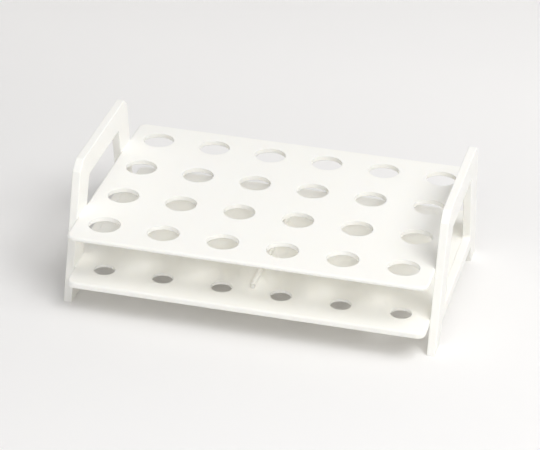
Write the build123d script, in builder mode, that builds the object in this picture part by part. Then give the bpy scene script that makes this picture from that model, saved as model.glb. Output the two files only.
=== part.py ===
from build123d import *
from math import radians, tan
import os

# Microcentrifuge tube rack, moulded in one piece: two perforated shelves between two end
# frames that are also its handles and feet.  A tube hangs in a hole of the upper shelf and
# its tip sits in the smaller hole below.  Racks stack: the arch between the feet clears the
# handle of the rack underneath.
# The rack stands on z = 0, is long along X, and is centred on x = 0, y = 0.
# Lengths are in millimetres and angles in degrees.

# ---- hole pattern ---------------------------------------------------------------
columns = 6                   # tube places along the rack
rows = 4                      # tube places across the rack
column_pitch = 21.4           # centre to centre along X
row_pitch = 23.4              # centre to centre along Y
tube_hole_diameter = 11.3     # upper shelf: the straight part of a tube
tip_hole_diameter = 7.5       # lower shelf: the cone of a tube

# ---- both shelves ---------------------------------------------------------------
shelf_end_margin = 10.6       # middle of the last column to the end of a shelf
shelf_side_margin = 12.2      # middle of the outer row to the long edge of a shelf
shelf_corner_radius = 3.2
shelf_edge_radius = 0.7       # rounding all round a shelf, above and below
root_radius = 0.6             # hollow rounding where a shelf runs into a leg
root_inset = 0.9              # side of a frame to the side of the root of a shelf
lower_shelf_height = 12.4     # table to the top of the lower shelf
tier_spacing = 18.0           # top of the lower shelf to the top of the upper one

# ---- upper shelf: a plain plate -------------------------------------------------
plate_thickness = 1.6

# ---- lower shelf: a thinner floor inside a rim that is turned down all round -------
floor_thickness = 1.0
rim_depth = 2.4               # top of the shelf to the foot of the rim
rim_width = 1.5

# ---- stiffening rib across the lower shelf, between its two middle columns -------
rib_width = 1.3
rib_height = 2.0
rib_setback = 14.4            # long edge of the shelf to the end of the rib
rib_edge_radius = 0.3

# ---- end frames -----------------------------------------------------------------
frame_thickness = 3.0
frame_lean = 13.0             # slope of the sides, measured from upright
frame_setback = 14.2          # long edge of the upper shelf to the side of a frame
handle_rise = 19.4            # top of the upper shelf to the top of the handle
handle_bar_height = 9.2       # grip above the window
handle_chamfer = 3.4          # cut corners of the handle
leg_width_at_bar = 12.2       # beside the window, measured level
leg_width_at_sill = 11.3
window_radius = 1.4
foot_height = 7.8             # table to the rail that the lower shelf meets
foot_width = 8.3              # on the table
foot_root_width = 9.7         # where the foot meets the rail
arch_radius = 1.0
frame_edge_radius = 0.35      # rounding along every edge of a frame

# ---- worked out -----------------------------------------------------------------
shelf_length = (columns - 1) * column_pitch + 2 * shelf_end_margin
shelf_depth = (rows - 1) * row_pitch + 2 * shelf_side_margin
upper_shelf_height = lower_shelf_height + tier_spacing
frame_height = upper_shelf_height + handle_rise
window_top = frame_height - handle_bar_height
window_sill = lower_shelf_height
frame_round = min(frame_edge_radius, 0.2 * frame_thickness)
rib_round = min(rib_edge_radius, 0.4 * rib_width)
rib_place = 0 if columns % 2 == 0 else column_pitch / 2


def frame_reach(height):
    """Distance from the middle plane of the rack to the sloping side of a frame."""
    drop = upper_shelf_height - height
    return shelf_depth / 2 - frame_setback + drop * tan(radians(frame_lean))


def leg_width(height):
    """Width of a leg between the side of a frame and its window, measured level."""
    share = (height - window_sill) / (window_top - window_sill)
    return leg_width_at_sill + share * (leg_width_at_bar - leg_width_at_sill)


def corners(bottom, top, wall_at_bottom=0, wall_at_top=0):
    """Corners of a symmetrical shape between two heights, set in from the sides of a frame."""
    low = frame_reach(bottom) - wall_at_bottom
    high = frame_reach(top) - wall_at_top
    return (-low, bottom), (-high, top), (high, top), (low, bottom)


def shelf(top, thickness, hole_diameter):
    """A shelf with its holes, and full-thickness roots that flare where they meet the legs."""
    underside = Plane.XY.offset(top - thickness)
    middle = top - thickness / 2
    leg_centre = frame_reach(middle) - leg_width(middle) / 2
    root_width = leg_width(middle) - 2 * root_inset
    clear_height = 3 * root_radius
    with BuildPart() as plate:
        with BuildSketch(underside):
            RectangleRounded(shelf_length, shelf_depth, shelf_corner_radius)
        extrude(amount=thickness)
        fillet(plate.faces().filter_by(Axis.Z).edges(), min(shelf_edge_radius, 0.45 * thickness))

        for root_centre in (-leg_centre, leg_centre):
            with BuildSketch(Plane.XZ.offset(-root_centre)):
                with Locations((0, middle)):
                    Rectangle(shelf_length, thickness + 2 * root_radius)
                    with GridLocations(0, thickness + clear_height, 1, 2):
                        RectangleRounded(shelf_length, clear_height, root_radius, mode=Mode.SUBTRACT)
            extrude(amount=root_width / 2, both=True)

        with BuildSketch(underside):
            with GridLocations(column_pitch, row_pitch, columns, rows):
                Circle(hole_diameter / 2)
        extrude(amount=thickness, mode=Mode.SUBTRACT)
    return plate.part


with BuildPart() as lower_shelf:
    add(shelf(lower_shelf_height, rim_depth, tip_hole_diameter))
    rail_root_width = 2 * (frame_reach(lower_shelf_height) - root_inset)
    with BuildSketch(Plane.XY.offset(lower_shelf_height - rim_depth)):
        Rectangle(shelf_length, rail_root_width)
        Rectangle(shelf_length - 2 * rim_width, rail_root_width, mode=Mode.SUBTRACT)
    extrude(amount=rim_depth)
    with BuildSketch(Plane.XY.offset(lower_shelf_height - floor_thickness)):
        RectangleRounded(
            shelf_length - 2 * rim_width, shelf_depth - 2 * rim_width, shelf_corner_radius - rim_width
        )
    extrude(amount=floor_thickness - rim_depth - root_radius, mode=Mode.SUBTRACT)

with BuildPart() as right_frame:
    with BuildSketch(Plane.YZ.offset(shelf_length / 2)) as outline:
        with BuildLine():
            Polyline(*corners(0, frame_height), close=True)
        make_face()
        chamfer(outline.vertices().group_by(Axis.Y)[-1], handle_chamfer)

        with BuildLine():
            Polyline(*corners(window_sill, window_top, leg_width_at_sill, leg_width_at_bar), close=True)
        make_face(mode=Mode.SUBTRACT)
        fillet(outline.vertices(Select.LAST), window_radius)

        with BuildLine():
            Polyline(*corners(0, foot_height, foot_width, foot_root_width), close=True)
        make_face(mode=Mode.SUBTRACT)
        fillet(outline.vertices(Select.LAST).group_by(Axis.Y)[-1], arch_radius)
    extrude(amount=frame_thickness)
    fillet(right_frame.faces().filter_by(Axis.X).edges(), frame_round)

with BuildPart() as rib:
    rib_length = shelf_depth - 2 * rib_setback
    with BuildSketch(Plane.XY.offset(lower_shelf_height - floor_thickness / 2)):
        with Locations((rib_place, 0)):
            Rectangle(rib_width, rib_length)
    extrude(amount=floor_thickness / 2 + rib_height)
    fillet(rib.faces().sort_by(Axis.Z)[-1].edges(), rib_round)

with BuildPart() as tube_rack:
    add(right_frame.part)
    mirror(about=Plane.YZ)
    add(shelf(upper_shelf_height, plate_thickness, tube_hole_diameter))
    add(lower_shelf.part)
    add(rib.part)

tube_rack.part.label = "tube_rack"
os.makedirs("parts", exist_ok=True)
export_step(tube_rack.part, "parts/tube_rack.step")
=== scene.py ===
# %% [markdown]
# # A microcentrifuge tube rack
#
# The rack is one moulding in white polypropylene: two thin shelves full of holes, held between
# two end frames.  Its solid comes finished from the CAD model, and could be modelled again here,
# but a mould's shape is exact and the CAD model already has it.  So this lesson is about the
# other half of a picture: a surface that reads as moulded plastic, and a soft light that lets
# white stand on white.

# %% Load the frame
import math

import bpy
import numpy as np
from mathutils import Matrix, Vector


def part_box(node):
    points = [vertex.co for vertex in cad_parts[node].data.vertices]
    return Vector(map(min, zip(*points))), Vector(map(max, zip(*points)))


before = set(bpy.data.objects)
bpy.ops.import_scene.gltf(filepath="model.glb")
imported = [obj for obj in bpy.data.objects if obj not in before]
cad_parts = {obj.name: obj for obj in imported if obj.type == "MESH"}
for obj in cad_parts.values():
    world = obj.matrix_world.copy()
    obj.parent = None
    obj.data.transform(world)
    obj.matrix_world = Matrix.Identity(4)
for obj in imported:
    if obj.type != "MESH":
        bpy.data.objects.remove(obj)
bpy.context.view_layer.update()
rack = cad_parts["tube_rack"]
low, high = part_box("tube_rack")
print("rack, mm:", [round(1000 * (b - a), 1) for a, b in zip(low, high)])
print("triangles:", len(rack.data.polygons))

# %% [markdown]
# ## The camera
#
# The rack is seen from the right and above through a long lens, which keeps the shelves' edges
# nearly parallel.  A camera could be placed by hand in the viewport, or track an empty.  Here it
# is written down as where it stands, what it looks at, and how far it is rolled about its own
# axis, because each of these can be read and changed by itself.

# %% Camera
MM = 0.001
CAMERA_PLACE = Vector((191.5, -854.8, 485.3)) * MM
CAMERA_TARGET = Vector((-3.8, 7.9, 16.2)) * MM
CAMERA_ROLL = math.radians(2.0)


def look(place, target, roll):
    """Matrix of a camera or a lamp: -Z runs from place to target; X is level before the roll."""
    back = (place - target).normalized()
    across = Vector((0, 0, 1)).cross(back).normalized()
    up = back.cross(across)
    turn = Matrix((across, up, back)).transposed().to_4x4()
    return Matrix.Translation(place) @ turn @ Matrix.Rotation(roll, 4, "Z")


camera = bpy.data.objects.new("camera", bpy.data.cameras.new("camera"))
bpy.context.scene.collection.objects.link(camera)
bpy.context.scene.camera = camera
camera.data.lens = 183.9
camera.data.sensor_width = 36.0
camera.data.clip_start = 0.05
camera.data.clip_end = 20.0
camera.matrix_world = look(CAMERA_PLACE, CAMERA_TARGET, CAMERA_ROLL)
print("camera:", [round(v, 3) for v in camera.matrix_world.translation], "lens", camera.data.lens)

# %% [markdown]
# ## Shader maths as Python
#
# A node tree is a formula drawn as boxes.  It could be wired up box by box, but then the formula
# can't be seen for the links.  The class below wraps a socket, so that the formula can be written
# as one: `0.4 + 0.1 * grain` adds its own Math nodes.


# %% A socket as a number
class Value:
    """A socket that carries a number.  Arithmetic on it adds Math nodes to its tree."""

    def __init__(self, tree, socket):
        self.tree = tree
        self.socket = socket

    def math(self, operation, *inputs, clamp=False):
        settings = {"operation": operation, "use_clamp": clamp}
        return self.tree.node("ShaderNodeMath", settings, dict(enumerate(inputs))).out()

    def __add__(self, other):
        return self.math("ADD", self, other)

    def __radd__(self, other):
        return self.math("ADD", other, self)

    def __sub__(self, other):
        return self.math("SUBTRACT", self, other)

    def __rsub__(self, other):
        return self.math("SUBTRACT", other, self)

    def __mul__(self, other):
        return self.math("MULTIPLY", self, other)

    def __rmul__(self, other):
        return self.math("MULTIPLY", other, self)

    def clamp(self):
        return self.math("ADD", self, 0.0, clamp=True)


print("operators: + - *, with a number on either side, and clamp()")

# %% [markdown]
# ## Trees and their nodes
#
# Any node that isn't arithmetic comes from one method, `Tree.node`: first the node's settings,
# because they can change which sockets it has, and then the values or links of its sockets.  The
# three kinds of node that every surface here needs get a short name of their own.


# %% Trees and their nodes
class Node:
    """A placed node; out() gives one of its outputs as a Value."""

    def __init__(self, tree, node):
        self.tree = tree
        self.made = node

    def out(self, name=0):
        return Value(self.tree, self.made.outputs[name])


class Tree:
    """The node tree of a new material."""

    def __init__(self, name):
        self.material = bpy.data.materials.new(name)
        self.material.use_nodes = True
        self.nodes = self.material.node_tree.nodes
        self.links = self.material.node_tree.links
        self.nodes.clear()

    def node(self, kind, settings=None, sockets=None):
        """Adds a node: its settings first, then a value or a link for each socket named."""
        made = self.nodes.new(kind)
        for name, value in (settings or {}).items():
            setattr(made, name, value)
        for name, value in (sockets or {}).items():
            if isinstance(value, Value):
                self.links.new(value.socket, made.inputs[name])
            else:
                made.inputs[name].default_value = value
        return Node(self, made)

    def noise(self, scale, detail, roughness=0.5):
        """Noise on the object's own coordinates, in metres: a scale of 70 has spots of 14 mm."""
        place = self.node("ShaderNodeTexCoord").out("Object")
        sockets = {"Vector": place, "Scale": scale, "Detail": detail, "Roughness": roughness}
        return self.node("ShaderNodeTexNoise", None, sockets).out("Fac")

    def mix(self, share, first, second):
        """One colour at a share of 0, running into the other at a share of 1."""
        sockets = {"Factor": share, 6: first, 7: second}
        return self.node("ShaderNodeMix", {"data_type": "RGBA"}, sockets).out(2)

    def bump(self, height, distance, strength, normal=None):
        """Normals of a relief of this distance, laid over the normals that are given."""
        sockets = {"Height": height, "Distance": distance, "Strength": strength}
        if normal is not None:
            sockets["Normal"] = normal
        return self.node("ShaderNodeBump", None, sockets).out()

    def finish(self, shader):
        """Links the shader to the material's output."""
        self.node("ShaderNodeOutputMaterial", None, {"Surface": shader})
        return self.material


print("tree:", [name for name in vars(Tree) if not name.startswith("_")])

# %% [markdown]
# ## The moulded polypropylene
#
# White polypropylene is never quite flat in tone.  The white drifts a little over some
# centimetres, the satin of the mould comes out patchy, and the surface has a slow wave from
# shrinking and a fine grain from the steel.  A plain white shader would look like paper, and a
# picture of plastic would show its seams, so each of these is a noise in the object's own
# coordinates.  How strong each one is was chosen.
#
# Light goes a short way into the plastic before it comes out again, which softens every edge, so
# the shader has a little subsurface scattering.  No mould gives a knife edge either.  A Bevel
# modifier could round the rims of the holes, but on this mesh it left dark spikes around them.  So
# a Bevel node turns the normals over the last third of a millimetre instead: the rims catch the
# light as rounded ones do, and their outline stays sharp.

# %% Moulded polypropylene
COOL_WHITE = (0.941, 0.935, 0.901, 1)
WARM_WHITE = (0.933, 0.923, 0.879, 1)
RIM_RADIUS = 0.3 * MM
WAVE_HEIGHT = 0.6 * MM
GRAIN_HEIGHT = 0.04 * MM


def moulded_plastic():
    """Warm white satin: slow tone, patchy roughness, rounded rims, a slow wave, a fine grain."""
    tree = Tree("moulded_polypropylene")
    slow = tree.noise(scale=16.0, detail=2.0)
    patches = tree.noise(scale=70.0, detail=4.0, roughness=0.6)
    grain = tree.noise(scale=1400.0, detail=2.0, roughness=0.7)
    warmth = (0.5 + 1.4 * (slow - 0.5) + 0.5 * (patches - 0.5)).clamp()
    satin = 0.40 + 0.16 * (patches - 0.5) + 0.10 * (grain - 0.5)
    rims = tree.node("ShaderNodeBevel", {"samples": 6}, {"Radius": RIM_RADIUS}).out()
    wave = tree.bump(slow + 0.25 * patches, WAVE_HEIGHT, strength=0.35, normal=rims)
    relief = tree.bump(grain, GRAIN_HEIGHT, strength=0.30, normal=wave)
    shader = tree.node(
        "ShaderNodeBsdfPrincipled",
        {"subsurface_method": "RANDOM_WALK"},
        {
            "Base Color": tree.mix(warmth, COOL_WHITE, WARM_WHITE),
            "Roughness": satin,
            "Normal": relief,
            "IOR": 1.49,
            "Subsurface Weight": 0.15,
            "Subsurface Radius": (1.0, 0.9, 0.75),
            "Subsurface Scale": 1.2 * MM,
        },
    ).out("BSDF")
    return tree.finish(shader)


plastic = moulded_plastic()
rack.data.materials.clear()
rack.data.materials.append(plastic)
print("material:", plastic.name, len(plastic.node_tree.nodes), "nodes")

# %% [markdown]
# ## The table and the backdrop
#
# The rack stands on a white board with a paper hung behind it.  They could be two planes, but the
# line where they meet would show.  One pale sheet does both: it lies flat under the rack, and
# behind it sweeps up through an arc.  It is a profile carried along X, worked out on a grid.

# %% Table and backdrop
FLAT_POINTS, ARC_POINTS, WALL_POINTS, ACROSS_POINTS = 24, 33, 12, 33


def sweep_sheet(front, bend, radius, rise, half_width):
    """Points on a grid (s, x): s runs along y from front to bend, round a quarter arc, then up.

    On the arc, at an angle t, y = bend + radius sin t and z = radius (1 - cos t).
    """
    flat = np.linspace(front, bend, FLAT_POINTS)
    angle = np.linspace(0, np.pi / 2, ARC_POINTS)[1:]
    wall = np.linspace(radius, radius + rise, WALL_POINTS)[1:]
    arc_y = bend + radius * np.sin(angle)
    arc_z = radius * (1 - np.cos(angle))
    y = np.concatenate([flat, arc_y, np.full(len(wall), bend + radius)])
    z = np.concatenate([0 * flat, arc_z, wall])
    x = np.linspace(-half_width, half_width, ACROSS_POINTS)
    return np.stack([np.tile(x, len(y)), np.repeat(y, len(x)), np.repeat(z, len(x))], axis=1)


def grid_mesh(name, points, across):
    """Quads over points in rows of `across`: k goes with k + 1, k + across + 1 and k + across."""
    rows = len(points) // across
    corner = (np.arange(rows - 1)[:, None] * across + np.arange(across - 1)[None, :]).ravel()
    quads = np.stack([corner, corner + 1, corner + across + 1, corner + across], axis=1)
    mesh = bpy.data.meshes.new(name)
    mesh.from_pydata(points.tolist(), [], quads.tolist())
    mesh.shade_smooth()
    made = bpy.data.objects.new(name, mesh)
    bpy.context.scene.collection.objects.link(made)
    return made


points = sweep_sheet(front=-2.5, bend=0.30, radius=0.6, rise=1.5, half_width=2.5)
table = grid_mesh("table", points, ACROSS_POINTS)
print("table:", len(table.data.polygons), "quads")

# %% [markdown]
# ## The white of the board and the paper
#
# The white around the rack could come from more light, but that would burn out the rack and wash
# away its shadow, so it is the sheet's own colour.  Past the rack the board gives way to a paper
# that is a little paler, in a smooth step along Y.  The sheet's back is clear to a camera, so
# that the rack can also be looked at from behind the paper and from underneath.

# %% Board and paper
BOARD = (0.865, 0.858, 0.854, 1)
PAPER = (0.940, 0.930, 0.924, 1)
PAPER_STARTS = 50 * MM
PAPER_IS_FULL = 200 * MM


def board_and_paper():
    """Matt white board under the rack, which runs into a slightly paler paper behind it."""
    tree = Tree("board_and_paper")
    place = tree.node("ShaderNodeTexCoord").out("Object")
    depth = tree.node("ShaderNodeSeparateXYZ", None, {"Vector": place}).out("Y")
    behind = tree.node(
        "ShaderNodeMapRange",
        {"interpolation_type": "SMOOTHSTEP"},
        {"Value": depth, "From Min": PAPER_STARTS, "From Max": PAPER_IS_FULL},
    ).out("Result")
    fibres = tree.bump(tree.noise(scale=220.0, detail=3.0), 0.1 * MM, strength=0.2)
    tone = tree.mix(behind, BOARD, PAPER)
    matt = tree.node("ShaderNodeBsdfDiffuse", None, {"Color": tone, "Normal": fibres}).out()
    clear = tree.node("ShaderNodeBsdfTransparent").out()
    camera_ray = tree.node("ShaderNodeLightPath").out("Is Camera Ray")
    hidden = camera_ray * tree.node("ShaderNodeNewGeometry").out("Backfacing")
    return tree.finish(tree.node("ShaderNodeMixShader", None, {0: hidden, 1: matt, 2: clear}).out())


white = board_and_paper()
table.data.materials.append(white)
print("material:", white.name, len(white.node_tree.nodes), "nodes")

# %% [markdown]
# ## The lamps
#
# Two large soft lamps stand at the right, one in front of the rack and one beside it.  One lamp
# twice as wide could stand for both.  Apart, their shadows both fall to the left and overlap, so
# they are deep beside the end frames and fade over a long way.  A weak lamp from the front lifts
# the edges of the shelves, and a weaker one from overhead lifts the holes.
#
# White plastic needs its lamps kept down.  A small lamp of power P at a distance d puts
# P / (pi d^2) on a surface that faces it, and a matt surface sends out a pi-th of that.  So a
# small lamp of power level * pi^2 d^2 shows white paper at that level.  A wide one gives less: 8 %
# less for the two at the right, and 15 to 16 % for the wider two.  Together with the world they
# bring the top of the rack to about its written colour, and a little over it at the right.

# %% Lamps
# Azimuth from +X and elevation from the table in degrees, distance and size in metres, level.
LAMPS = {
    "key": (-47, 53, 1.0, 0.5, 0.39),
    "side": (-14, 54, 1.0, 0.5, 0.27),
    "front": (-95, 30, 1.2, 0.9, 0.10),
    "overhead": (-60, 82, 1.1, 0.8, 0.03),
}
LAMP_TARGET = Vector((0, 0, 20)) * MM


def soft_lamp(name, azimuth, elevation, distance, size, level):
    """A square area lamp, at its angles and distance, turned to the middle of the rack."""
    a, e = math.radians(azimuth), math.radians(elevation)
    way = Vector((math.cos(e) * math.cos(a), math.cos(e) * math.sin(a), math.sin(e)))
    light = bpy.data.lights.new(name, "AREA")
    light.shape = "SQUARE"
    light.size = size
    light.energy = level * (math.pi * distance) ** 2
    lamp = bpy.data.objects.new(name, light)
    lamp.matrix_world = look(distance * way, LAMP_TARGET, 0)
    bpy.context.scene.collection.objects.link(lamp)
    return lamp


lamps = [soft_lamp(name, *setting) for name, setting in LAMPS.items()]
print("lamps, W:", {lamp.name: round(lamp.data.energy, 2) for lamp in lamps})

# %% [markdown]
# ## The world
#
# The room around the rack is pale and even, and fills the shadows.  It could be a picture of a
# studio, but matt white shows hardly anything of one, so a single colour is enough.  It is a touch
# warm.  Between the two shelves the light is passed on from white to white many times, so it is
# followed through twelve bounces.

# %% World
SKY_COLOUR = (1.0, 0.995, 0.985, 1)
SKY_LEVEL = 0.43

world = bpy.data.worlds.new("studio")
bpy.context.scene.world = world
world.use_nodes = True
sky = world.node_tree.nodes["Background"].inputs
sky["Color"].default_value = SKY_COLOUR
sky["Strength"].default_value = SKY_LEVEL
bpy.context.scene.view_settings.view_transform = "Standard"
bpy.context.scene.cycles.diffuse_bounces = 12
print("level of the sky:", SKY_LEVEL)
